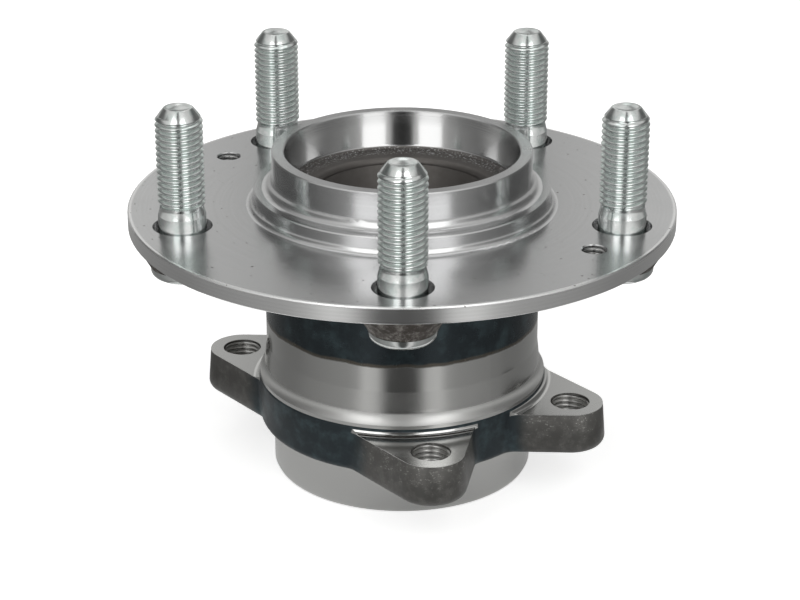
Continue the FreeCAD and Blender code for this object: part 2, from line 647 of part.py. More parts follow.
def cut_splines(body):
    """Broach the spaces between the axle spline teeth."""
    middle = "(Derived.spline_root - Sizes.spline_depth / 2)"
    half = f"(pi * {middle} / (2 * Sizes.spline_count))"
    inner = "Derived.spline_bore - Sizes.spline_depth / 2"
    inner_half = f"{half} + Sizes.spline_depth * tan(Sizes.spline_flank)"
    root_half = f"{half} - Sizes.spline_depth / 2 * tan(Sizes.spline_flank)"
    sketch = new_sketch(body, "spline_space", "XY_Plane")
    outline(sketch, [
        (inner, f"-({inner_half})"),
        ("Derived.spline_root", f"-({root_half})"),
        ("Derived.spline_root", root_half),
        (inner, inner_half),
    ])
    space = pocketed(body, "spline_cut", sketch)
    around(body, "splines", [space], "Sizes.spline_count")


def build_studs():
    """Turn the wheel studs, each with its origin on its own axis in the wheel face."""
    thread = "Sizes.stud_thread_diameter / 2"
    shank = f"{thread} + Sizes.stud_shank_swell"
    knurl = "Sizes.stud_knurl_diameter / 2"
    head = "Sizes.stud_head_diameter / 2"
    head_end = "-Sizes.boss_depth - Sizes.stud_head_thickness"
    for number in range(int(value("Sizes.stud_count"))):
        body = new_body(f"wheel_stud_{number + 1}")
        turned(body, f"stud_{number + 1}", [
            ("0", head_end),
            (head + " - Sizes.stud_head_crown", head_end, "Sizes.stud_head_round", 1),
            (head, "-Sizes.boss_depth - Sizes.stud_head_edge"),
            (head, "-Sizes.boss_depth"),
            (knurl, "-Sizes.boss_depth"),
            (knurl, "-Sizes.stud_relief_depth - Sizes.stud_knurl_start"),
            (shank, "-Sizes.stud_relief_depth"),
            (shank, "Sizes.stud_thread_foot - Sizes.stud_band_length"),
            (f"{thread} - Sizes.stud_band_cut", "Sizes.stud_thread_foot"),
            (thread, "Sizes.stud_thread_foot + Sizes.stud_band_cut"),
            (thread, "Sizes.stud_length - Sizes.stud_lead_length"),
            (thread + " - Sizes.stud_lead_cut", "Sizes.stud_length"),
            ("0", "Sizes.stud_length - Sizes.stud_dish"),
        ])
        angle = f"Sizes.stud_angle + {number} * 360 / Sizes.stud_count"
        body.setExpression("Placement.Base.x", f"Derived.stud_radius * cos({angle})")
        body.setExpression("Placement.Base.y", f"Derived.stud_radius * sin({angle})")
        placed(body, "Sizes.flange_height")


def build_inner_ring():
    """Turn the separate inner ring, with its origin in its outer end face."""
    body = new_body("inner_ring")
    edge = "Sizes.inner_ring_edge"
    turned(body, "ring", [
        ("Derived.spindle_radius", edge),
        (f"Derived.spindle_radius + {edge}", "0"),
        (f"Derived.journal_radius - {edge}", "0"),
        ("Derived.journal_radius", edge),
        ("Derived.journal_radius", "Derived.row_in_ring - Derived.shoulder_offset",
         "Derived.groove_radius", -1),
        ("Derived.inner_race", "Derived.row_in_ring"),
        ("Derived.inner_race", f"Derived.ring_length - {edge}"),
        (f"Derived.inner_race - {edge}", "Derived.ring_length"),
        (f"Derived.spindle_radius + {edge}", "Derived.ring_length"),
        ("Derived.spindle_radius", f"Derived.ring_length - {edge}"),
    ])
    placed(body, "Sizes.ring_end_height")


def build_row(side, height, flipped):
    """Mould one cage with its ball pockets and set the balls of the row in it."""
    cage = new_body(f"{side}_cage")
    inner = "Derived.pitch_radius - Sizes.cage_inside"
    outer = "Derived.pitch_radius + Sizes.cage_outside"
    turned(cage, f"{side}_cage_ring", [
        (inner, "-Sizes.cage_mouth"),
        (outer, "-Sizes.cage_mouth"),
        (outer, "Sizes.cage_back"),
        (inner, "Sizes.cage_back"),
    ])
    pocket = cage.newObject("PartDesign::SubtractiveSphere", f"{side}_pocket")
    pocket.setExpression("Radius", "Derived.ball_diameter / 2 + Sizes.pocket_clearance")
    pocket.setExpression("Placement.Base.x", "Derived.pitch_radius")
    finish(cage, pocket, True)
    around(cage, f"{side}_pockets", [pocket], "Sizes.ball_count")
    placed(cage, height, flipped=flipped)
    for number in range(int(value("Sizes.ball_count"))):
        name = f"{side}_ball_{number + 1:02d}"
        ball = doc.addObject("Part::Sphere", name)
        ball.Label = name
        ball.setExpression("Radius", "Derived.ball_diameter / 2")
        angle = f"{number} * 360 / Sizes.ball_count"
        ball.setExpression("Placement.Base.x", f"Derived.pitch_radius * cos({angle})")
        ball.setExpression("Placement.Base.y", f"Derived.pitch_radius * sin({angle})")
        ball.setExpression("Placement.Base.z", height)


def build_seal(side, contact, lip_tip, height, flipped):
    """Press one seal: a steel case and the rubber lips bonded to it.

    Its own origin lies in the end face of the outer ring, with +Z into the bearing.
    """
    case = new_body(f"{side}_seal_case")
    sheet = "Sizes.seal_sheet"
    reach = "(Derived.journal_radius + Sizes.seal_case_margin)"
    face = f"(Sizes.seal_depth - {sheet})"
    turned(case, f"{side}_case", [
        ("Derived.seal_seat", "Sizes.seal_recess"),
        ("Derived.seal_seat", "Sizes.seal_depth"),
        (reach, "Sizes.seal_depth"),
        (reach, face),
        (f"Derived.seal_seat - {sheet}", face),
        (f"Derived.seal_seat - {sheet}", "Sizes.seal_recess"),
    ])
    placed(case, height, flipped=flipped)
    lips = new_body(f"{side}_seal_lip")
    rubber = "Sizes.lip_thickness"
    running = f"({contact} + Sizes.lip_clearance)"
    turned(lips, f"{side}_lip", [
        (f"{reach} + 2 * {rubber}", face),
        (f"{reach} + 2 * {rubber}", f"{face} - {rubber}"),
        (f"{reach} - {rubber} / 2", f"{face} - {rubber}"),
        (f"{reach} - {rubber}", lip_tip),
        (f"{reach} - 1.6 * {rubber}", lip_tip),
        (f"{reach} - 2 * {rubber}", f"{face} - {rubber}"),
        (running, f"{face} - 2 * {rubber}"),
        (running, f"{face} - 1.4 * {rubber}"),
        (f"{running} + {rubber}", "Sizes.seal_depth"),
        (reach, "Sizes.seal_depth"),
        (reach, face),
    ])
    placed(lips, height, flipped=flipped)


def build_slinger():
    """Press the slinger on the inner ring and bond the encoder ring to its outer face."""
    slinger = new_body("inboard_slinger")
    sheet = "Sizes.seal_sheet"
    turned(slinger, "slinger", [
        ("Derived.journal_radius", "0"),
        ("Derived.slinger_outside", "0"),
        ("Derived.slinger_outside", sheet),
        (f"Derived.journal_radius + {sheet}", sheet),
        (f"Derived.journal_radius + {sheet}", "Sizes.slinger_sleeve"),
        ("Derived.journal_radius", "Sizes.slinger_sleeve"),
    ])
    placed(slinger, f"Sizes.ring_end_height - {sheet}")
    encoder = new_body("encoder_ring")
    inner = "Derived.journal_radius + Sizes.encoder_margin"
    outer = "Derived.slinger_outside - Sizes.encoder_margin"
    turned(encoder, "encoder", [
        (inner, "0"),
        (outer, "0"),
        (outer, "Sizes.encoder_thickness"),
        (inner, "Sizes.encoder_thickness"),
    ])
    placed(encoder, f"Sizes.ring_end_height - {sheet} - Sizes.encoder_thickness")


def pieces():
    """Return every finished piece of the bearing."""
    kinds = ("PartDesign::Body", "Part::Sphere")
    return [item for item in doc.Objects if item.TypeId in kinds]


def check_document():
    """Stop if any object failed or any piece is not one valid solid."""
    for item in doc.Objects:
        if "Invalid" in item.State or "Error" in item.State:
            raise RuntimeError(f"{item.Name} did not compute: {item.State}")
    for piece in pieces():
        shape = piece.Shape
        if shape.isNull() or not shape.isValid() or len(shape.Solids) != 1:
            raise RuntimeError(f"{piece.Label} is not one valid solid")


build_outer_ring()
build_hub_flange()
build_studs()
build_inner_ring()
build_row("outboard", "Derived.outboard_row", True)
build_row("inboard", "Sizes.inboard_row_height", False)
build_seal("outboard", "Derived.journal_radius", "Sizes.axial_lip_tip", "Derived.body_top", True)
build_seal("inboard", "Derived.journal_radius + Sizes.seal_sheet",
           "Sizes.ring_end_height + Sizes.slinger_gap", None, False)
build_slinger()
doc.recompute()
check_document()

os.makedirs("parts", exist_ok=True)
for piece in pieces():
    piece.Shape.exportStep(f"parts/{piece.Label}.step")
    print(piece.Label, round(piece.Shape.Volume, 2))
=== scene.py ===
"""A driven wheel hub bearing on a pale studio floor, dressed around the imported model."""

import logging
import math
from dataclasses import dataclass, field
from enum import Enum

import bpy
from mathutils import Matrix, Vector


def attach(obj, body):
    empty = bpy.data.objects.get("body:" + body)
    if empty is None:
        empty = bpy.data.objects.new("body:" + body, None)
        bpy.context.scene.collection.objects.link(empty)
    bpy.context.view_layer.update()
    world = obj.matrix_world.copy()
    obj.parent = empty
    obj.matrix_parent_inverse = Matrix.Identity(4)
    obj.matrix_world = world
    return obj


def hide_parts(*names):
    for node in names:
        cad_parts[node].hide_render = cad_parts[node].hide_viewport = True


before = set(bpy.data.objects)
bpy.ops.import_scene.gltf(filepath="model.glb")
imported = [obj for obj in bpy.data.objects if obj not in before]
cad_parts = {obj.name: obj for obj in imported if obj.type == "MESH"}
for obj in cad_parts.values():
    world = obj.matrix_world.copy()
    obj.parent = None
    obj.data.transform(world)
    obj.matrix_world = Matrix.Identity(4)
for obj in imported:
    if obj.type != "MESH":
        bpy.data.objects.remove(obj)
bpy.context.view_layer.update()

logging.basicConfig(level=logging.INFO, format="%(name)s: %(message)s")
log = logging.getLogger("hub_bearing")

MM = 0.001
WELD = 0.01 * MM
CUT_TOLERANCE = 0.0001 * MM


class Side(Enum):
    """The two ends of the bearing."""

    OUTBOARD = "outboard"
    INBOARD = "inboard"


# ---------------------------------------------------------------- material graph


class Value:
    """One socket of a material graph, on which arithmetic is written as usual."""

    def __init__(self, graph: "Graph", socket: bpy.types.NodeSocket) -> None:
        """Wrap a socket.

        Args:
            graph: The graph that the socket belongs to.
            socket: The output socket.
        """
        self.graph = graph
        self.socket = socket

    def _math(self, operation: str, *terms: "Number") -> "Value":
        """Add one Math node.

        Args:
            operation: The node's operation.
            *terms: Numbers or values.

        Returns:
            The node's result.
        """
        return self.graph.node("ShaderNodeMath", {"operation": operation}, list(terms))

    def __add__(self, other: "Number") -> "Value":
        """Return self + other."""
        return self._math("ADD", self, other)

    def __radd__(self, other: "Number") -> "Value":
        """Return other + self."""
        return self._math("ADD", other, self)

    def __sub__(self, other: "Number") -> "Value":
        """Return self - other."""
        return self._math("SUBTRACT", self, other)

    def __rsub__(self, other: "Number") -> "Value":
        """Return other - self."""
        return self._math("SUBTRACT", other, self)

    def __mul__(self, other: "Number") -> "Value":
        """Return self * other."""
        return self._math("MULTIPLY", self, other)

    def __rmul__(self, other: "Number") -> "Value":
        """Return other * self."""
        return self._math("MULTIPLY", other, self)

    def __truediv__(self, other: "Number") -> "Value":
        """Return self / other."""
        return self._math("DIVIDE", self, other)

    def __pow__(self, other: "Number") -> "Value":
        """Return self ** other."""
        return self._math("POWER", self, other)

    def __abs__(self) -> "Value":
        """Return the absolute value."""
        return self._math("ABSOLUTE", self)

    def sine(self) -> "Value":
        """Return the sine."""
        return self._math("SINE", self)

    def cosine(self) -> "Value":
        """Return the cosine."""
        return self._math("COSINE", self)

    def capped(self) -> "Value":
        """Return the value held between 0 and 1."""
        return self.graph.node("ShaderNodeClamp", {}, [self, 0.0, 1.0])


Number = Value | float
Colour = tuple[float, float, float]
Paint = Value | Colour
Profile = tuple[tuple[float, float], ...]


class Graph:
    """The node graph of a material or the world, with the measures that patterns share."""

    def __init__(self, owner: bpy.types.ID, coordinate: str = "Object") -> None:
        """Start an empty graph.

        Args:
            owner: The material or world that the graph belongs to.
            coordinate: The output of the coordinate node that gives the place.
        """
        owner.use_nodes = True
        self.owner = owner
        self.tree = owner.node_tree
        self.tree.nodes.clear()
        self.place = self.node("ShaderNodeTexCoord", {}, {}, coordinate)
        split = self.node("ShaderNodeSeparateXYZ", {}, [self.place])
        outputs = split.socket.node.outputs
        self.x, self.y, self.z = (Value(self, outputs[i]) / MM for i in range(3))
        self.radius = (self.x * self.x + self.y * self.y) ** 0.5
        self.angle = self.node("ShaderNodeMath", {"operation": "ARCTAN2"}, [self.y, self.x])

    def node(self, kind: str, settings: dict, inputs: list | dict,
             output: int | str | None = 0) -> Value | None:
        """Add any node.

        Args:
            kind: The node's type.
            settings: Attributes set before the links; "stops" holds a ramp's stops.
            inputs: Values or links, by position in a list or by name in a dict.
            output: The wanted output, by position or name, or None for none.

        Returns:
            The wanted output, or None.
        """
        made = self.tree.nodes.new(kind)
        for key, setting in settings.items():
            if key == "stops":
                ramp = made.color_ramp
                while len(ramp.elements) < len(setting):
                    ramp.elements.new(0.5)
                for element, (position, colour) in zip(ramp.elements, setting):
                    element.position = position
                    element.color = (*colour, 1.0)
            else:
                setattr(made, key, setting)
        pairs = enumerate(inputs) if isinstance(inputs, list) else inputs.items()
        for key, given in pairs:
            if given is None:
                continue
            if isinstance(given, Value):
                self.tree.links.new(given.socket, made.inputs[key])
            elif isinstance(given, tuple) and made.inputs[key].type == "RGBA":
                made.inputs[key].default_value = (*given, 1.0)
            else:
                made.inputs[key].default_value = given
        return None if output is None else Value(self, made.outputs[output])

    def step(self, value: Value, low: float, high: float) -> Value:
        """Return a smooth step.

        Args:
            value: What is compared.
            low: Where the step leaves 0.
            high: Where the step reaches 1.

        Returns:
            The step, from 0 to 1.
        """
        return self.node(
            "ShaderNodeMapRange",
            {"interpolation_type": "SMOOTHSTEP", "clamp": True},
            [value, low, high, 0.0, 1.0],
        )

    def band(self, value: Value, low: float, high: float, soft: float) -> Value:
        """Return 1 between two levels and 0 elsewhere.

        Args:
            value: What is compared.
            low: The lower level.
            high: The upper level.
            soft: The width over which each side fades.

        Returns:
            The mask.
        """
        rise = self.step(value, low - soft / 2, low + soft / 2)
        fall = self.step(value, high - soft / 2, high + soft / 2)
        return rise * (1.0 - fall)

    def noise(self, size: float, detail: float = 2.0, roughness: float = 0.5,
              place: Value | None = None) -> Value:
        """Return cloudy noise from 0 to 1.

        Args:
            size: The size of a cloud in millimetres.
            detail: The number of finer layers.
            roughness: The weight of the finer layers.
            place: The coordinate, which is the object's own if left out.

        Returns:
            The noise.
        """
        return self.node(
            "ShaderNodeTexNoise",
            {},
            {"Vector": place or self.place, "Scale": 1.0 / (size * MM), "Detail": detail,
             "Roughness": roughness},
        )

    def lines(self, along: Value, pitch: float, detail: float = 2.0) -> Value:
        """Return uneven lines across one measure, as a turning tool leaves them.

        Args:
            along: The measure in millimetres that the lines cross.
            pitch: The usual spacing of the lines in millimetres.
            detail: The number of finer layers.

        Returns:
            The lines, from 0 to 1.
        """
        return self.node(
            "ShaderNodeTexNoise",
            {"noise_dimensions": "1D"},
            {"W": along, "Scale": 1.0 / pitch, "Detail": detail, "Roughness": 0.6},
        )

    def mixed(self, share: Number, first: Paint, second: Paint) -> Value:
        """Mix two colours.

        Args:
            share: The share of the second colour.
            first: The first colour.
            second: The second colour.

        Returns:
            The mixed colour.
        """
        mix = self.tree.nodes.new("ShaderNodeMix")
        mix.data_type = "RGBA"
        for index, given in ((0, share), (6, first), (7, second)):
            socket = mix.inputs[index]
            if isinstance(given, Value):
                self.tree.links.new(given.socket, socket)
            elif isinstance(given, tuple):
                socket.default_value = (*given, 1.0)
            else:
                socket.default_value = given
        return Value(self, mix.outputs[2])

    def between(self, share: Value, first: Number, second: Number) -> Value:
        """Mix two numbers.

        Args:
            share: The share of the second number.
            first: The first number.
            second: The second number.

        Returns:
            The mixed number.
        """
        return share * second + (1.0 - share) * first

    def bump(self, height: Value, depth: float, under: Value | None = None) -> Value:
        """Return a normal raised by a height.

        Args:
            height: The height, as a multiple of the depth.
            depth: The depth in millimetres.
            under: A normal that is raised already.

        Returns:
            The normal.
        """
        return self.node(
            "ShaderNodeBump", {}, {"Strength": 1.0, "Distance": depth * MM, "Height": height,
                                   "Normal": under},
        )

    def surface(self, colour: Paint, roughness: Number, metallic: Number,
                normal: Value | None = None) -> Value:
        """Add one surface.

        Args:
            colour: The base colour.
            roughness: The roughness.
            metallic: The share of metal.
            normal: The raised normal, or None for the plain one.

        Returns:
            The surface.
        """
        return self.node(
            "ShaderNodeBsdfPrincipled",
            {},
            {"Base Color": colour, "Roughness": roughness, "Metallic": metallic,
             "Normal": normal},
        )

    def close(self, surface: Value, second: Value | None = None,
              share: Number = 0.0) -> bpy.types.Material:
        """Close the graph with its surface, or with a mix of two.

        Args:
            surface: The first surface.
            second: The second surface.
            share: The share of the second surface.

        Returns:
            The material.
        """
        if second is not None:
            surface = self.node("ShaderNodeMixShader", {}, [share, surface, second])
        self.node("ShaderNodeOutputMaterial", {}, {"Surface": surface}, None)
        return self.owner


def shaded(colour: Colour, share: float = 0.7) -> Colour:
    """Return a colour darkened to a share of itself."""
    return tuple(share * c for c in colour)


def new_graph(name: str) -> Graph:
    """Return the empty graph of a new material with this name."""
    return Graph(bpy.data.materials.new(name))


def finished(graph: Graph, colour: Paint, roughness: Number, metallic: Number,
             normal: Value | None = None) -> bpy.types.Material:
    """Close a graph with one surface.

    Args:
        graph: The material's graph.
        colour: The base colour.
        roughness: The roughness.
        metallic: The share of metal.
        normal: The raised normal.

    Returns:
        The material.
    """
    return graph.close(graph.surface(colour, roughness, metallic, normal))


# ---------------------------------------------------------------- finishes


@dataclass(frozen=True)
class TurnedHub:
    """The hub forging: turned and ground where it works, forged and scaled elsewhere."""

    bright: Colour = (0.60, 0.602, 0.605)
    # A near-white tone for the flange rim's outer face: a painted highlight above the turned
    # steel.
    rim: Colour = (0.90, 0.90, 0.90)
    bore: Colour = (0.50, 0.50, 0.50)
    pit: Colour = (0.10, 0.085, 0.07)
    dull: Colour = (0.135, 0.128, 0.122)
    scale_dark: Colour = (0.085, 0.074, 0.066)
    scale_light: Colour = (0.33, 0.31, 0.29)
    journal_top: float = 60.8
    journal_radius: float = 30.0
    back_height: float = 67.3
    face_height: float = 71.5
    face_radius: float = 38.5
    rim_radius: float = 68.5
    recess_low: float = 63.0
    ledge_low: float = 74.0
    ledge_high: float = 75.85
    ledge_radius: float = 25.6
    recess_radius: float = 29.3
    bore_low: float = 76.05
    bore_high: float = 85.46
    bore_radius: float = 29.8
    mouth_low: float = 84.5
    mouth_slope: float = 0.67
    bore_draft: float = 20.0
    ripple_zone: tuple[float, float] = (81.0, 84.0)
    pilot_top: float = 85.2
    satin_zone: tuple[float, float] = (71.8, 79.0)
    satin_radius: float = 42.0

    def bore_wall(self, g: Graph) -> Value:
        """Return the surface of the pilot's bore, which is turned to a slight cone."""
        ripples = g.lines(g.z + g.noise(9.0, 2.0, 0.5) * 0.7, 0.55, 2.0)
        mouth = g.node("ShaderNodeMath", {"operation": "MAXIMUM"}, [g.z - self.mouth_low, 0.0])
        slope = math.tan(math.radians(self.bore_draft))
        upper = g.step(g.z, *self.ripple_zone)
        normal = g.bump(mouth * (slope + self.mouth_slope) - g.z * slope
                        + ripples * upper * 0.02, 1.0)
        haze = g.noise(8.0, 3.0, 0.55)
        colour = g.mixed(upper * 0.45, self.bore, shaded(self.bore))
        return g.surface(colour, 0.095 + 0.05 * haze + 0.05 * upper, 1.0, normal)

    def material(self) -> bpy.types.Material:
        """Return the material of the whole hub."""
        g = new_graph("turned_hub_steel")
        r, z = g.radius, g.z
        across = r + z
        forged = (1.0 - g.step(z, self.back_height - 0.35, self.back_height - 0.1)) \
            * g.step(r, self.journal_radius, self.journal_radius + 1.0) \
            * g.step(z, self.journal_top - 0.1, self.journal_top + 0.1)
        inside = g.band(z, self.recess_low, self.bore_low, 0.5) \
            * (1.0 - g.step(r, self.recess_radius - 0.15, self.recess_radius))
        corner = g.band(z, self.ledge_low, self.ledge_high, 0.1) \
            * g.band(r, self.ledge_radius, self.recess_radius, 1.8)
        wall = g.band(z, self.bore_low, self.bore_high, 0.5) \
            * (1.0 - g.step(r, self.bore_radius - 0.2, self.bore_radius + 0.2))
        face = g.band(z, self.face_height - 0.5, self.face_height + 0.4, 0.1) \
            * g.step(r, self.face_radius - 0.3, self.face_radius + 0.3)
        rim = g.step(r, self.rim_radius - 0.2, self.rim_radius + 0.3) \
            * g.step(z, self.back_height - 0.4, self.back_height - 0.2)
        top = g.step(z, self.pilot_top, self.pilot_top + 0.15)
        clouds = g.noise(2.2, 5.0, 0.62)
        grit = g.noise(0.35, 3.0, 0.7)
        flecks = g.step(g.noise(0.5, 3.0, 0.7), 0.55, 0.62) * corner
        scale = g.mixed(g.step(clouds * 0.7 + grit * 0.3, 0.45, 0.65), self.scale_dark,
                        self.scale_light)
        tone = g.step(g.lines(across, 0.9, 3.0), 0.3, 0.75)
        # The rim takes its near-white tone here: a painted highlight.
        steel = g.mixed(rim, self.bright, self.rim)
        steel = g.mixed((1.0 - tone) * 0.12, steel, shaded(self.bright))
        steel = g.mixed(inside, steel, g.mixed(clouds * 0.5, self.dull, self.scale_dark))
        pits = g.step(g.noise(1.1, 0.0), 0.80, 0.83) * face
        steel = g.mixed(pits * 0.8, steel, self.pit)
        colour = g.mixed(forged, steel, scale)
        colour = g.mixed(flecks * 0.7, colour, self.bright)
        smudge = g.step(g.noise(14.0, 3.0, 0.55), 0.35, 0.75)
        fine = g.lines(across, 0.16, 2.0)
        satin = g.band(z, *self.satin_zone, 1.6) \
            * (1.0 - g.step(r, self.satin_radius - 1.0, self.satin_radius + 1.0))
        roughness = 0.13 + 0.05 * smudge + 0.03 * fine + 0.04 * rim + 0.07 * face + 0.08 * top \
            + 0.07 * satin
        roughness = g.between(inside, roughness, 0.42 + 0.1 * clouds)
        roughness = g.between(forged, roughness, 0.42 + 0.25 * grit)
        smoothed = (1.0 - forged) * (1.0 - inside * 0.5) * (0.06 + 0.94 * face)
        grooves = g.bump((fine * 0.7 + g.lines(across, 0.45, 1.0) * 0.3) * smoothed, 0.0028)
        rough = g.bump((clouds * 0.75 + grit * 0.25) * (forged + 0.12 * inside).capped(), 0.16,
                       grooves)
        metal = g.between((forged + inside).capped(), 1.0, 0.85) * (1.0 - 0.6 * flecks)
        return g.close(g.surface(colour, roughness, metal, rough), self.bore_wall(g), wall)


@dataclass(frozen=True)
class OuterRingFinish:
    """The outer ring: blued by its heat treatment, ground, turned and forged by zones."""

    ground: Colour = (0.60, 0.60, 0.59)
    satin: Colour = (0.54, 0.54, 0.53)
    blued: Colour = (0.030, 0.040, 0.046)
    blued_cloud: Colour = (0.062, 0.090, 0.100)
    straw: Colour = (0.16, 0.135, 0.105)
    scale_dark: Colour = (0.096, 0.094, 0.089)
    # A lighter scale tone, reached both by real clouds of scale and by painted light on the
    # upper lug sides.
    scale_mid_and_painted_light: Colour = (0.21, 0.205, 0.195)
    # The tone of the bright specks on the lug sides, which are partly painted glints.
    scale_light: Colour = (0.50, 0.49, 0.47)
    blue_low: float = 40.7
    ring_radius: float = 33.0
    spigot_top: float = 12.0
    relief_radius: float = 35.2
    parting: float = 17.5
    lug_top: float = 23.0
    lug_face_radius: float = 38.9
    web_top: float = 24.8
    web_radius: float = 37.2
    fillet_zone: tuple[float, float] = (24.5, 34.1)
    flare_zone: tuple[float, float] = (24.8, 28.4)
    # The heights over which the lug sides are painted lighter, as if lit from above.
    painted_light_zone: tuple[float, float] = (15.5, 21.5)

    def material(self) -> bpy.types.Material:
        """Return the material of the whole ring."""
        g = new_graph("outer_ring_steel")
        r, z = g.radius, g.z
        across = r + z
        outside = g.step(r, self.ring_radius, self.ring_radius + 0.3)
        wander = g.noise(9.0, 3.0, 0.6) - 0.5
        clouds = g.noise(2.6, 5.0, 0.62)
        grit = g.noise(0.45, 3.0, 0.75)
        blue = g.step(z + wander * 1.2, self.blue_low - 0.3, self.blue_low + 0.2) * outside
        tinge = g.band(z + wander * 1.6, self.blue_low - 0.2, self.blue_low + 0.8, 0.6)
        cut = g.step(z, self.lug_top - 0.15, self.lug_top - 0.05) \
            * g.step(r, self.web_radius + 0.03, self.web_radius + 0.1)
        forged = g.band(z, self.spigot_top - 0.1, self.web_top, 0.06) \
            * g.step(r, self.relief_radius, self.relief_radius + 0.4) * (1.0 - cut)
        lug = g.step(r + wander * 3.0, self.web_radius + 0.6, self.web_radius + 4.5)
        lug_face = cut * g.step(r, self.lug_face_radius - 0.3, self.lug_face_radius + 0.3) \
            * (1.0 - g.step(z, self.lug_top + 0.1, self.lug_top + 0.4))
        spigot = (1.0 - g.step(z, self.spigot_top - 0.4, self.spigot_top)) * outside
        rows = g.noise(0.95, 3.0, 0.65, g.node("ShaderNodeMapping", {}, {
            "Vector": g.place, "Scale": (1.0, 1.0, 2.6)}))
        # The upper half of the lug sides and the lugs on the +X side are painted lighter, as if
        # the light falls there; the lugs on the -X side stay darker as painted shade.
        upper = g.step(z, *self.painted_light_zone)
        painted_light_side = 0.1 + 0.9 * g.step(g.x, -20.0, 20.0)
        # Bright specks on the lug sides: partly lighter specks of scale, partly painted glints,
        # kept mostly to the upper half and the +X lugs where light falls.
        flecks = g.step(grit * 0.5 + rows * 0.5, 0.545, 0.63) * (0.1 + 0.9 * upper) * lug \
            * painted_light_side * g.step(clouds, 0.42, 0.58)
        steel = g.mixed((spigot + lug_face).capped(), self.ground, self.satin)
        temper = g.mixed(g.step(g.noise(6.0, 4.0, 0.6), 0.45, 0.75), self.blued,
                         self.blued_cloud)
        steel = g.mixed(blue, steel, g.mixed(tinge * 0.6, temper, self.straw))
        # Lighter scale: partly real clouds of scale, partly painted light on the upper half of
        # the +X lugs.
        share = (g.step(clouds, 0.40, 0.75) * 0.45 + upper * painted_light_side * 0.30).capped()
        scale = g.mixed(share, self.scale_dark, self.scale_mid_and_painted_light)
        scale = g.mixed(flecks, scale, self.scale_light)
        colour = g.mixed(forged, steel, g.mixed(lug, temper, scale))
        fine = g.lines(across, 0.18, 2.0)
        smudge = g.step(g.noise(12.0, 3.0, 0.55), 0.35, 0.75)
        roughness = 0.10 + 0.05 * smudge + 0.03 * fine
        roughness = roughness + 0.07 * g.band(z, *self.fillet_zone, 0.3) \
            + 0.14 * g.band(z, *self.flare_zone, 0.8)
        roughness = g.between((spigot + lug_face).capped(), roughness, 0.15 + 0.05 * fine)
        roughness = g.between(blue, roughness, 0.20 + 0.12 * clouds)
        roughness = g.between(forged, roughness, 0.34 + 0.16 * clouds - 0.08 * flecks * lug)
        grooves = g.bump(fine * (1.0 - forged), 0.0011)
        bulge = g.bump((z - self.parting) ** 2.0 * -0.024 * forged * lug, 1.0, grooves)
        rough = g.bump((clouds * 0.5 + grit * 0.35 + rows * 0.3) * forged * (0.3 + 0.7 * lug),
                       0.08, bulge)
        metal = g.between((blue + forged).capped(), 1.0, 0.7 - 0.45 * flecks)
        return finished(g, colour, roughness, metal, rough)


@dataclass(frozen=True)
class Zinc:
    """Zinc plating with a faint green passivation, greener and rougher on thread flanks, which
    are also lighter and partly diffuse as painted light against the shade between the threads.
    """

    bright: Colour = (0.78, 0.795, 0.79)
    tinted: Colour = (0.66, 0.715, 0.70)
    # Greener zinc for the thread flanks, kept light as painted light against their shade.
    flank: Colour = (0.78, 0.845, 0.82)
    worn: Colour = (0.50, 0.56, 0.54)
    thread_low: float = 77.6
    thread_high: float = 99.2
    flank_low: float = 5.16
    flank_high: float = 5.74
    stud_angle: float = 33.5
    stud_circle: float = 57.15
    stud_count: int = 5

    def material(self) -> bpy.types.Material:
        """Return the material of the studs."""
        g = new_graph("zinc_plated_steel")
        share = math.pi / self.stud_count
        angle = g.node("ShaderNodeMath", {"operation": "WRAP"}, [
            g.angle - math.radians(self.stud_angle), -share, share])
        out = g.radius * angle.cosine() - self.stud_circle
        across = g.radius * angle.sine()
        radius = (out * out + across * across) ** 0.5
        threads = g.band(g.z, self.thread_low, self.thread_high, 0.4)
        flank = g.band(radius, self.flank_low, self.flank_high, 0.1) * threads
        clouds = g.noise(3.0, 4.0, 0.6)
        grain = g.noise(0.25, 3.0, 0.7)
        colour = g.mixed(g.step(clouds, 0.4, 0.65), self.bright, self.tinted)
        # The thread flanks are painted lighter and greener: partly the passivation's tint,
        # partly painted light against the shade between the threads.
        colour = g.mixed(flank, colour, self.flank)
        colour = g.mixed(g.step(grain, 0.55, 0.75) * 0.3, colour, self.worn)
        roughness = 0.11 + 0.05 * clouds + 0.03 * grain + 0.06 * flank
        return finished(g, colour, roughness, 1.0 - 0.2 * flank, g.bump(grain, 0.004))


@dataclass(frozen=True)
class GroundSteel:
    """Steel with fine lines round the bearing's axis, ground and honed or cut by a tap."""

    name: str
    colour: Colour = (0.66, 0.655, 0.64)
    roughness: float = 0.12
    groove: float = 0.002

    def material(self) -> bpy.types.Material:
        """Return the material of a ground part."""
        g = new_graph(self.name)
        fine = g.lines(g.radius + g.z, 0.12, 2.0)
        haze = g.noise(6.0, 3.0, 0.55)
        colour = g.mixed(g.step(haze, 0.35, 0.7) * 0.25, self.colour, shaded(self.colour))
        return finished(g, colour, self.roughness + 0.10 * haze + 0.04 * fine, 1.0,
                        g.bump(fine, self.groove))


@dataclass(frozen=True)
class Moulding:
    """A moulded polymer or rubber with a fine skin."""

    name: str
    colour: Colour
    worn: Colour
    roughness: float
    grain: float = 0.01

    def material(self) -> bpy.types.Material:
        """Return the material of a moulded part."""
        g = new_graph(self.name)
        clouds = g.noise(4.0, 4.0, 0.6)
        skin = g.noise(0.18, 2.0, 0.6)
        colour = g.mixed(g.step(clouds * 0.6 + skin * 0.4, 0.45, 0.7) * 0.6, self.colour,
                         self.worn)
        return finished(g, colour, self.roughness + 0.15 * clouds, 0.0,
                        g.bump(skin, self.grain))


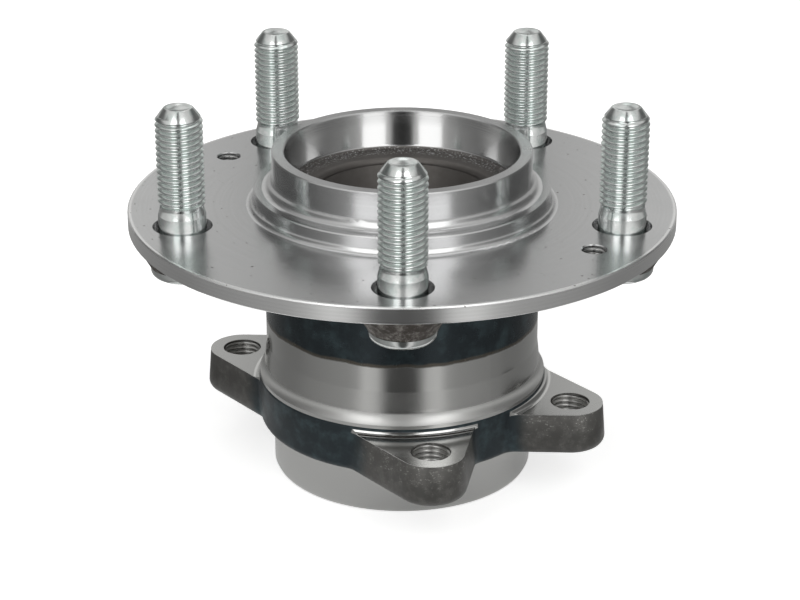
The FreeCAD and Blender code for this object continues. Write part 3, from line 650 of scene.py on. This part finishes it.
@dataclass(frozen=True)
class SheetSteel:
    """Pressed sheet steel with faint drawing marks."""

    colour: Colour = (0.50, 0.50, 0.48)
    stained: Colour = (0.30, 0.28, 0.25)

    def material(self) -> bpy.types.Material:
        """Return the material of the seal cases and the slinger."""
        g = new_graph("pressed_sheet_steel")
        clouds = g.noise(2.5, 5.0, 0.65)
        drawn = g.lines(g.angle * 60.0, 0.8, 3.0)
        colour = g.mixed(g.step(clouds, 0.5, 0.75) * 0.6, self.colour, self.stained)
        return finished(g, colour, 0.26 + 0.16 * clouds + 0.06 * drawn, 1.0,
                        g.bump(drawn * 0.5 + clouds * 0.5, 0.006))


# ---------------------------------------------------------------- modelling by hand


def deselect_all() -> None:
    """Leave object mode with nothing selected."""
    if bpy.context.object and bpy.context.object.mode != "OBJECT":
        bpy.ops.object.mode_set(mode="OBJECT")
    bpy.ops.object.select_all(action="DESELECT")


def choose(piece: bpy.types.Object) -> None:
    """Select one object alone and make it the active one."""
    deselect_all()
    piece.select_set(True)
    bpy.context.view_layer.objects.active = piece


def turn(name: str, profile: Profile, segments: int) -> bpy.types.Object:
    """Turn a solid about the Z axis from a disc that is extruded and scaled ring by ring.

    Args:
        name: The object's name.
        profile: Radii and heights in millimetres, from the lower end to the upper one.
        segments: The number of sides.

    Returns:
        The solid.
    """
    deselect_all()
    radius, height = profile[0]
    bpy.ops.mesh.primitive_circle_add(
        vertices=segments, radius=radius * MM, fill_type="NGON", location=(0, 0, height * MM)
    )
    piece = bpy.context.object
    piece.name = name
    bpy.ops.object.transform_apply(location=True, rotation=True, scale=True)
    bpy.ops.object.mode_set(mode="EDIT")
    bpy.ops.mesh.select_all(action="SELECT")
    for next_radius, next_height in profile[1:]:
        bpy.ops.mesh.extrude_region_move(
            TRANSFORM_OT_translate={"value": (0, 0, (next_height - height) * MM)}
        )
        share = next_radius / radius
        bpy.ops.transform.resize(
            value=(share, share, 1.0), center_override=(0, 0, next_height * MM)
        )
        radius, height = next_radius, next_height
    bpy.ops.mesh.select_all(action="SELECT")
    bpy.ops.mesh.normals_make_consistent(inside=False)
    bpy.ops.object.mode_set(mode="OBJECT")
    return piece


def combine(piece: bpy.types.Object, other: bpy.types.Object, operation: str) -> None:
    """Join, cut or trim a solid by another, which is used up.

    Args:
        piece: The solid that stays.
        other: The solid that is used up.
        operation: The modifier's operation.
    """
    modifier = piece.modifiers.new("combine", "BOOLEAN")
    modifier.operation = operation
    modifier.solver = "EXACT"
    modifier.object = other
    choose(piece)
    bpy.ops.object.modifier_apply(modifier=modifier.name)
    bpy.data.objects.remove(other)


def smooth(piece: bpy.types.Object, degrees: float) -> None:
    """Shade a piece smooth up to an angle.

    Args:
        piece: The piece.
        degrees: The angle past which an edge stays sharp.
    """
    choose(piece)
    bpy.ops.object.shade_smooth_by_angle(angle=math.radians(degrees))


def copy_to(piece: bpy.types.Object, name: str, place: tuple[float, float, float],
            turn_degrees: float) -> bpy.types.Object:
    """Copy a piece with its own mesh, turned and moved to its place.

    Args:
        piece: The finished first piece.
        name: The copy's name.
        place: The place in millimetres.
        turn_degrees: The turn about the Z axis before the move.

    Returns:
        The copy, with its place in its mesh.
    """
    choose(piece)
    bpy.ops.object.duplicate(linked=False)
    made = bpy.context.object
    made.name = name
    made.rotation_euler = (0.0, 0.0, math.radians(turn_degrees))
    made.location = Vector(place) * MM
    bpy.ops.object.transform_apply(location=True, rotation=True, scale=True)
    return made


def dress(name: str, material: bpy.types.Material) -> None:
    """Give a CAD node its material.

    Args:
        name: The node's name.
        material: The material.
    """
    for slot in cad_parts[name].material_slots:
        slot.material = material
    log.info("dressed %s in %s", name, material.name)


@dataclass
class Thread:
    """A screw thread of metric form with round crests and roots, as a rod with its helix."""

    major: float
    minor: float
    pitch: float
    segments: int = 72
    rounds: int = 5

    def outline(self) -> Profile:
        """Return one turn's profile as radii and heights, from one root to the next.

        A metric thread has a flat of a quarter of the pitch at its root and of an eighth at
        its crest, and here an arc takes the place of each flat.
        """
        pitch = self.pitch
        lean = math.atan((5 * pitch / 16) / (self.major - self.minor))
        reach = math.tan(math.pi / 2 - lean) * pitch / (1.0 / math.sin(lean) - 1.0)
        bulge, hollow = reach / 16, reach / 8
        half = math.pi / 2 - lean
        turns = [half * (2 * k / self.rounds - 1) for k in range(self.rounds + 1)]
        root = [(self.minor + hollow * (1.0 - math.cos(a)), pitch / 8 + hollow * math.sin(a))
                for a in turns]
        crest = [(self.major - bulge * (1.0 - math.cos(a)), pitch * 5 / 8 + bulge * math.sin(a))
                 for a in turns]
        return (*root, *crest, (root[0][0], root[0][1] + pitch))

    def rod(self, name: str, low: float, high: float) -> bpy.types.Object:
        """Sweep the profile up its helix and cut both ends square.

        Args:
            name: The rod's name.
            low: The height of the lower end in millimetres.
            high: The height of the upper end.

        Returns:
            The closed rod.
        """
        deselect_all()
        bpy.ops.mesh.primitive_plane_add(size=MM, location=(0, 0, 0))
        rod = bpy.context.object
        rod.name = name
        bpy.ops.object.mode_set(mode="EDIT")
        bpy.ops.mesh.select_all(action="SELECT")
        bpy.ops.mesh.merge(type="CENTER")
        points = self.outline()
        start = low - 2 * self.pitch
        bpy.ops.transform.translate(value=(points[0][0] * MM, 0, start * MM))
        for (radius, height), (next_radius, next_height) in zip(points, points[1:]):
            bpy.ops.mesh.extrude_vertices_move(TRANSFORM_OT_translate={
                "value": ((next_radius - radius) * MM, 0, (next_height - height) * MM)})
        bpy.ops.object.mode_set(mode="OBJECT")
        screw = rod.modifiers.new("helix", "SCREW")
        screw.axis = "Z"
        screw.angle = math.tau
        screw.screw_offset = self.pitch * MM
        screw.iterations = math.ceil((high - low) / self.pitch) + 4
        screw.steps = screw.render_steps = self.segments
        screw.use_merge_vertices = True
        screw.merge_threshold = WELD
        choose(rod)
        bpy.ops.object.modifier_apply(modifier=screw.name)
        bpy.ops.object.mode_set(mode="EDIT")
        bpy.ops.mesh.select_all(action="SELECT")
        bpy.ops.mesh.remove_doubles(threshold=WELD)
        for height, side in ((low, -1.0), (high, 1.0)):
            bpy.ops.mesh.select_all(action="SELECT")
            bpy.ops.mesh.bisect(
                plane_co=(0, 0, height * MM), plane_no=(0, 0, side), use_fill=True,
                clear_outer=True, threshold=CUT_TOLERANCE,
            )
        bpy.ops.mesh.select_all(action="SELECT")
        bpy.ops.mesh.normals_make_consistent(inside=False)
        bpy.ops.object.mode_set(mode="OBJECT")
        return rod


@dataclass
class WheelStuds:
    """The five pressed wheel studs, with their threads, in place of the CAD studs."""

    circle_radius: float = 57.15
    face_height: float = 71.5
    first_angle: float = 33.5
    turns: tuple[float, ...] = (0.0, 131.0, 47.0, 212.0, 289.0)
    thread: Thread = field(default_factory=lambda: Thread(5.9, 5.02, 1.5, 96))
    thread_start: float = 4.4
    tip: float = 30.8
    segments: int = 96
    crease: float = 32.0
    head: Profile = ((0.4, -13.3), (4.6, -13.3), (5.65, -13.27), (6.6, -13.05), (7.4, -12.6),
                     (7.9, -12.1), (8.18, -11.55), (8.25, -11.0), (8.25, -10.35), (8.1, -10.2))
    shank: Profile = ((6.25, -10.2), (6.25, -3.4), (5.96, -2.9), (5.96, 3.15), (5.9, 3.35),
                      (5.56, 4.7), (5.47, 5.1), (5.43, 5.75), (5.3, 5.8))
    envelope: Profile = ((4.6, 4.8), (5.25, 5.2), (5.45, 5.8), (5.97, 6.35), (5.97, 27.6),
                         (5.7, 28.05), (3.75, 30.6), (3.45, 30.8), (2.9, 30.78), (2.4, 30.5),
                         (0.5, 30.42))

    def body(self) -> bpy.types.Object:
        """Return the turned head, seat, shank and tapered band, with heights from the face."""
        return turn("stud_body", self.head + self.shank, self.segments)

    def threaded_part(self) -> bpy.types.Object:
        """Return the threaded rod, trimmed to its run-out and its tapered, dished tip."""
        rod = self.thread.rod("stud_thread", self.thread_start, self.tip + 1.0)
        combine(rod, turn("stud_envelope", self.envelope, self.segments), "INTERSECT")
        return rod

    def build(self, material: bpy.types.Material) -> list[bpy.types.Object]:
        """Model one stud and set five copies in the flange.

        Args:
            material: The plating.

        Returns:
            The studs.
        """
        first = self.body()
        combine(first, self.threaded_part(), "UNION")
        first.data.materials.append(material)
        smooth(first, self.crease)
        studs = []
        spacing = 360.0 / len(self.turns)
        for number, twist in enumerate(self.turns, start=1):
            angle = math.radians(self.first_angle + spacing * (number - 1))
            place = (self.circle_radius * math.cos(angle), self.circle_radius * math.sin(angle),
                     self.face_height)
            stud = copy_to(first, f"threaded_stud_{number}", place, twist)
            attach(stud, "hub")
            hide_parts(f"wheel_stud_{number}")
            log.info("built %s with %d faces", stud.name, len(stud.data.polygons))
            studs.append(stud)
        bpy.data.objects.remove(first)
        return studs


@dataclass
class TappedHoles:
    """Threads in a set of equal tapped holes, as the ridges that stand in from each wall."""

    name: str
    body: str
    slot: str
    thread: Thread
    low: float
    high: float
    places: list[tuple[float, float]]
    lead: float = 0.7
    inset: float = 0.08
    core_room: float = 0.12
    overlap: float = 0.02
    overrun: float = 0.5
    crease: float = 32.0

    def build(self, material: bpy.types.Material) -> list[bpy.types.Object]:
        """Model one thread and set a copy in each hole.

        Args:
            material: The steel round the hole.

        Returns:
            The threads.
        """
        wall, segments = self.thread.major, self.thread.segments
        core = self.thread.minor - self.core_room
        low, high = self.low + self.inset, self.high - self.inset
        blank = turn(self.name, (
            (core, low), (wall, low + self.lead), (wall, high - self.lead), (core, high),
        ), segments)
        tap = Thread(wall + self.overlap, self.thread.minor, self.thread.pitch, segments)
        rod = tap.rod("tap", self.low - self.overrun, self.high + self.overrun)
        combine(blank, rod, "DIFFERENCE")
        blank.data.materials.append(material)
        smooth(blank, self.crease)
        threads = []
        for number, (x, y) in enumerate(self.places, start=1):
            piece = copy_to(blank, f"{self.name}_{number}", (x, y, 0.0), 0.0)
            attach(piece, self.body)
            log.info("built %s with %d faces", piece.name, len(piece.data.polygons))
            threads.append(piece)
        bpy.data.objects.remove(blank)
        return threads


# ---------------------------------------------------------------- sub-assemblies


@dataclass
class OuterRing:
    """The fixed ring with its four tapped bolt lugs."""

    finish: OuterRingFinish = OuterRingFinish()
    tapped: GroundSteel = GroundSteel("lug_thread_steel", (0.62, 0.615, 0.60), 0.22, 0.002)
    thread: Thread = field(default_factory=lambda: Thread(5.0, 4.42, 1.25))
    lug_low: float = 12.0
    lug_high: float = 23.0
    half_long: float = 40.0
    half_short: float = 23.0

    def build(self) -> None:
        """Dress the ring and cut the threads of its lugs."""
        dress("outer_ring", self.finish.material())
        corners = [(sx * self.half_long, sy * self.half_short) for sx in (-1, 1)
                   for sy in (-1, 1)]
        holes = TappedHoles("lug_thread", "housing", "forged_steel", self.thread, self.lug_low,
                            self.lug_high, corners)
        holes.build(self.tapped.material())


@dataclass
class HubFlange:
    """The turning flange with its pilots, studs and brake disc screw holes."""

    finish: TurnedHub = TurnedHub()
    tapped: GroundSteel = GroundSteel("screw_thread_steel", (0.40, 0.40, 0.395), 0.2, 0.002)
    thread: Thread = field(default_factory=lambda: Thread(3.0, 2.5, 1.0, 64))
    screw_low: float = 67.3
    screw_high: float = 70.95
    screw_lead: float = 0.45
    screw_angles: tuple[float, float] = (15.5, 195.5)
    screw_circle: float = 57.15

    def build(self) -> None:
        """Dress the hub, then build its studs and screw threads."""
        dress("hub_flange", self.finish.material())
        WheelStuds().build(Zinc().material())
        places = [(self.screw_circle * math.cos(math.radians(a)),
                   self.screw_circle * math.sin(math.radians(a))) for a in self.screw_angles]
        holes = TappedHoles("screw_thread", "hub", "turned_steel", self.thread, self.screw_low,
                            self.screw_high, places, self.screw_lead)
        holes.build(self.tapped.material())


@dataclass
class RollingRow:
    """One row of balls in its cage."""

    side: Side
    ball_count: int = 12

    def build(self, balls: bpy.types.Material, cage: bpy.types.Material) -> None:
        """Dress the cage and the balls.

        Args:
            balls: The material of the balls.
            cage: The material of the cage.
        """
        dress(f"{self.side.value}_cage", cage)
        for number in range(1, self.ball_count + 1):
            dress(f"{self.side.value}_ball_{number:02d}", balls)


@dataclass
class Seal:
    """One seal with its pressed case and its rubber lips."""

    side: Side

    def build(self, case: bpy.types.Material, lip: bpy.types.Material) -> None:
        """Dress the case and the lips.

        Args:
            case: The material of the case.
            lip: The material of the lips.
        """
        dress(f"{self.side.value}_seal_case", case)
        dress(f"{self.side.value}_seal_lip", lip)


@dataclass
class BearingCore:
    """All that turns and seals between the outer ring and the hub."""

    race: GroundSteel = GroundSteel("bearing_steel")
    ball: GroundSteel = GroundSteel("ball_steel", (0.72, 0.715, 0.70), 0.06, 0.0005)
    cage: Moulding = Moulding("cage_polymer", (0.10, 0.095, 0.07), (0.17, 0.16, 0.125), 0.42)
    sheet: SheetSteel = SheetSteel()
    lip: Moulding = Moulding("seal_rubber", (0.022, 0.021, 0.020), (0.05, 0.048, 0.045), 0.5)
    encoder: Moulding = Moulding("encoder_rubber", (0.035, 0.028, 0.024), (0.07, 0.06, 0.052),
                                 0.36, 0.006)

    def build(self) -> None:
        """Dress the rows, the inner ring, the seals, the slinger and the encoder ring."""
        race, ball, cage, sheet, lip, encoder = (
            finish.material() for finish in
            (self.race, self.ball, self.cage, self.sheet, self.lip, self.encoder))
        for side in Side:
            RollingRow(side).build(ball, cage)
            Seal(side).build(sheet, lip)
        dress("inner_ring", race)
        dress("inboard_slinger", sheet)
        dress("encoder_ring", encoder)


# ---------------------------------------------------------------- studio


@dataclass(frozen=True)
class SoftBox:
    """One rectangular soft box that faces the object.

    Attributes:
        name: The lamp's name.
        azimuth: Degrees to the side of the camera.
        elevation: Degrees above the horizon.
        size: The width and height in metres.
        radiance: The brightness of its face.
    """

    name: str
    azimuth: float
    elevation: float
    size: tuple[float, float]
    radiance: float


@dataclass
class Studio:
    """A pale floor, a light tent, three soft boxes and the camera.

    Each layer of the tent holds stops of degrees away from the camera and brightness, which
    are the same on both sides. The joins are the heights, as sines of the elevation, over
    which one layer gives way to the next. The sheet shows only as a reflection.
    """

    azimuth: float = 51.3
    camera_place: tuple[float, float, float] = (0.4367, -0.3499, 0.2822)
    camera_aim: tuple[float, float, float] = (-0.000335, -0.000418, 0.04394)
    sensor: float = 36.0
    lens: float = 105.72
    table_radius: float = 0.078
    low: Profile = ((0, 0.035), (11, 0.04), (15, 0.12), (21, 0.30), (31, 0.335), (38, 0.20),
                    (46, 0.165), (62, 0.146), (82, 0.123), (98, 0.10), (114, 0.10),
                    (143, 0.125), (180, 0.17))
    middle: Profile = ((0, 0.20), (8, 0.24), (16, 0.44), (40, 0.43), (80, 0.27), (180, 0.24))
    high: Profile = ((0, 0.015), (9, 0.03), (13, 0.40), (38, 0.38), (48, 0.27), (62, 0.17),
                     (80, 0.115), (94, 0.08), (120, 0.06), (150, 0.09), (163, 0.35),
                     (173, 0.38), (177, 0.24), (180, 0.12))
    top: Profile = ((0, 0.06), (9, 0.09), (20, 0.48), (60, 0.42), (90, 0.32), (180, 0.28))
    joins: Profile = ((-0.15, -0.06), (0.12, 0.22), (0.52, 0.76))
    warmth: float = 0.985
    tent_strength: float = 2.0
    floor_size: float = 12.0
    floor_drop: float = 0.0006
    floor_glow: float = 0.62
    sheet_drop: float = 0.0002
    sheet_glow: float = 0.22
    box_distance: float = 1.2
    box_aim_height: float = 0.05
    boxes: tuple[SoftBox, ...] = (
        SoftBox("soft_box_left", -29.5, 36.0, (0.50, 1.25), 1.2),
        SoftBox("soft_box_right", 29.5, 36.0, (0.50, 1.25), 1.2),
        SoftBox("soft_box_top", 180.0, 68.0, (0.9, 0.7), 0.8),
    )

    def direction(self, azimuth: float, elevation: float) -> Vector:
        """Return the direction at an azimuth from the camera and an elevation."""
        a, e = math.radians(self.azimuth + azimuth), math.radians(elevation)
        return Vector((math.sin(a) * math.cos(e), -math.cos(a) * math.cos(e), math.sin(e)))

    def camera(self) -> None:
        """Set up the camera at the photograph's place."""
        bpy.ops.object.camera_add(location=self.camera_place)
        camera = bpy.context.object
        camera.name = "camera"
        camera.data.sensor_width = self.sensor
        camera.data.lens = self.lens
        aim = Vector(self.camera_aim) - Vector(self.camera_place)
        camera.rotation_euler = aim.to_track_quat("-Z", "Y").to_euler()
        bpy.context.scene.camera = camera

    def surround(self) -> None:
        """Make the world white to the camera and a soft light tent to everything else."""
        world = bpy.data.worlds.new("light_tent")
        bpy.context.scene.world = world
        g = Graph(world, "Generated")
        a = math.radians(self.azimuth)
        front = g.x * math.sin(a) - g.y * math.cos(a)
        side = g.x * math.cos(a) + g.y * math.sin(a)
        away = abs(g.node("ShaderNodeMath", {"operation": "ARCTAN2"}, [side, front])) / math.pi
        lower, mid, upper, roof = (
            g.node("ShaderNodeValToRGB",
                   {"stops": [(d / 180, (v, v, v * self.warmth)) for d, v in stops]}, [away])
            for stops in (self.low, self.middle, self.high, self.top))
        height = g.z * MM
        tent = lower
        for join, layer in zip(self.joins, (mid, upper, roof)):
            tent = g.mixed(g.step(height, *join), tent, layer)
        seen = g.node("ShaderNodeLightPath", {}, {}, "Is Camera Ray")
        colour = g.mixed(seen, tent, (1.0 / self.tent_strength,) * 3)
        shade = g.node("ShaderNodeBackground", {},
                       {"Color": colour, "Strength": self.tent_strength})
        g.node("ShaderNodeOutputWorld", {}, {"Surface": shade}, None)

    def hang(self, box: SoftBox) -> None:
        """Hang one soft box."""
        bpy.ops.object.light_add(type="AREA")
        lamp = bpy.context.object
        lamp.name = box.name
        way = self.direction(box.azimuth, box.elevation)
        lamp.location = way * self.box_distance + Vector((0, 0, self.box_aim_height))
        lamp.rotation_euler = (-way).to_track_quat("-Z", "Y").to_euler()
        lamp.data.shape = "RECTANGLE"
        lamp.data.size, lamp.data.size_y = box.size
        lamp.data.energy = box.radiance * math.pi * box.size[0] * box.size[1]

    def pale(self, name: str, glow: float, to_camera: bool) -> bpy.types.Material:
        """Return a matt pale material that is lifted a little by a glow.

        Args:
            name: The material's name.
            glow: The strength of the glow.
            to_camera: Whether the glow is for the camera alone.

        Returns:
            The material.
        """
        g = new_graph(name)
        tone = g.mixed(g.noise(60.0, 2.0, 0.5), (0.80, 0.80, 0.80), (0.82, 0.82, 0.82))
        matt = g.node("ShaderNodeBsdfDiffuse", {}, {"Color": tone, "Roughness": 0.5})
        seen = g.node("ShaderNodeLightPath", {}, {}, "Is Camera Ray")
        strength = seen * glow if to_camera else glow
        light = g.node("ShaderNodeEmission", {}, {"Color": (1.0, 1.0, 1.0),
                                                  "Strength": strength})
        return g.close(g.node("ShaderNodeAddShader", {}, [matt, light]))

    def floor(self) -> None:
        """Lay a pale floor, and the bright sheet that only shows as a reflection."""
        deselect_all()
        bpy.ops.mesh.primitive_plane_add(size=self.floor_size,
                                         location=(0, 0, -self.floor_drop))
        ground = bpy.context.object
        ground.name = "floor"
        ground.visible_glossy = False
        ground.data.materials.append(self.pale("pale_floor", self.floor_glow, True))
        bpy.ops.mesh.primitive_circle_add(vertices=96, radius=self.table_radius,
                                          fill_type="NGON",
                                          location=(0, 0, -self.sheet_drop))
        sheet = bpy.context.object
        sheet.name = "bright_sheet"
        sheet.visible_camera = sheet.visible_diffuse = sheet.visible_shadow = False
        sheet.data.materials.append(self.pale("bright_sheet", self.sheet_glow, False))

    def build(self) -> None:
        """Set up the whole studio."""
        deselect_all()
        bpy.context.scene.view_settings.view_transform = "Standard"
        self.camera()
        self.surround()
        self.floor()
        for box in self.boxes:
            self.hang(box)


def main() -> None:
    """Build every sub-assembly in order."""
    Studio().build()
    log.info("studio ready")
    OuterRing().build()
    log.info("outer ring ready")
    HubFlange().build()
    log.info("hub ready")
    BearingCore().build()
    log.info("bearing core ready")


if __name__ == "__main__":
    main()
